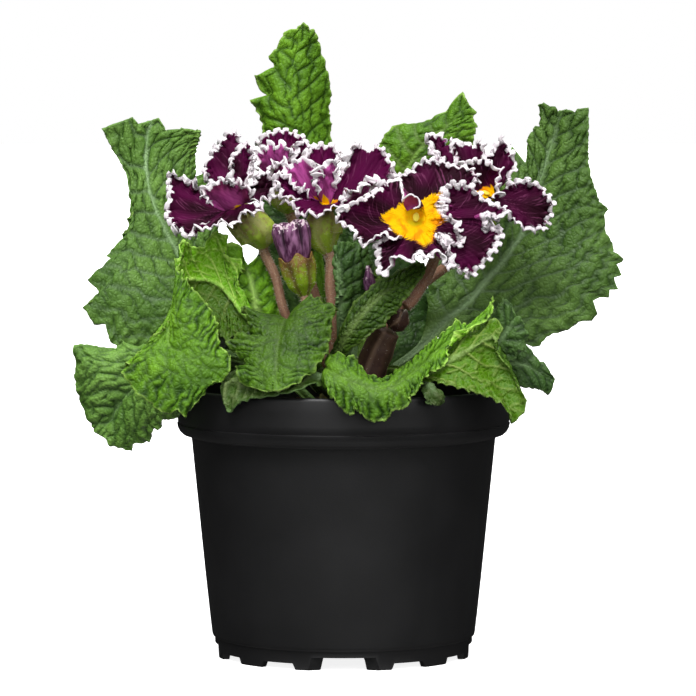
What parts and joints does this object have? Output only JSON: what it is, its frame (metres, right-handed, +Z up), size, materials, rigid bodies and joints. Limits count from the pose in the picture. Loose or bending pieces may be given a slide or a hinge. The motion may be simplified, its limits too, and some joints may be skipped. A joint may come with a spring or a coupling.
{
  "type": "potted primrose",
  "caption": "Primrose plant with puckered leaves and dark frilled white-edged blooms with yellow eyes, growing in a round black nursery pot",
  "frame": {"origin": "on the surface the pot stands on, at the pot's axis, which is the middle of the whole plant's outline to within 2 mm", "axes": "+Z up, +X to the right as seen from the side where the large open bloom faces out, +Y away from that side"},
  "size_m": [0.174, 0.1164, 0.1973],
  "materials": {
    "pot_plastic": "satin black injection-moulded polypropylene",
    "peat_soil": "crumbly damp peat, stands in as a rough matt fibre",
    "rootstock": "matt fibrous plant tissue",
    "leaf_green": "puckered leaf, faint sheen",
    "leaf_dark": "puckered leaf in shade, faint sheen",
    "leaf_young": "fresh young leaf, faint sheen",
    "petal": "velvety dark petal with a white frilled edge",
    "eye": "matt yellow petal tissue",
    "calyx": "ribbed, downy green tissue",
    "bud_calyx": "ribbed, fresh yellow-green tissue",
    "bud_petal": "folded purple petals",
    "flower_stalk": "downy pinkish brown stalk",
    "flower_stalk_dark": "ribbed dark brown stalk"
  },
  "bodies": {
    "root": {"pot": "pot_plastic", "soil": "peat_soil", "crown": "rootstock", "peduncle": "flower_stalk_dark", "bracts": "flower_stalk_dark", "small_bud": "bud_petal", "bud_petals": "bud_petal", "bud_calyx": "bud_calyx", "bud_stalk": "flower_stalk", "leaf_left_tall": "leaf_green", "leaf_left_low": "leaf_dark", "leaf_left_front": "leaf_young", "leaf_left_inner": "leaf_dark", "leaf_front_left": "leaf_young", "leaf_under_front": "leaf_dark", "leaf_young_arching": "leaf_young", "leaf_young_crinkled": "leaf_dark", "leaf_front_right": "leaf_young", "leaf_right_front": "leaf_young", "leaf_right_inner": "leaf_dark", "leaf_right_low": "leaf_dark", "leaf_rim_right": "leaf_dark", "leaf_right_tall": "leaf_green", "leaf_top": "leaf_green", "leaf_upper_right": "leaf_green", "leaf_back_middle": "leaf_dark", "leaf_back_left": "leaf_green", "leaf_back_right": "leaf_green", "bloom_front_petals": "petal", "bloom_front_eye": "eye", "bloom_front_calyx": "calyx", "bloom_front_stalk": "flower_stalk", "bloom_right_petals": "petal", "bloom_right_eye": "eye", "bloom_right_calyx": "calyx", "bloom_right_stalk": "flower_stalk", "bloom_left_petals": "petal", "bloom_left_eye": "eye", "bloom_left_calyx": "calyx", "bloom_left_stalk": "flower_stalk", "bloom_middle_petals": "petal", "bloom_middle_eye": "eye", "bloom_middle_calyx": "calyx", "bloom_middle_stalk": "flower_stalk", "bloom_back_petals": "petal", "bloom_back_eye": "eye", "bloom_back_calyx": "calyx", "bloom_back_stalk": "flower_stalk"}
  },
  "joints": []
}
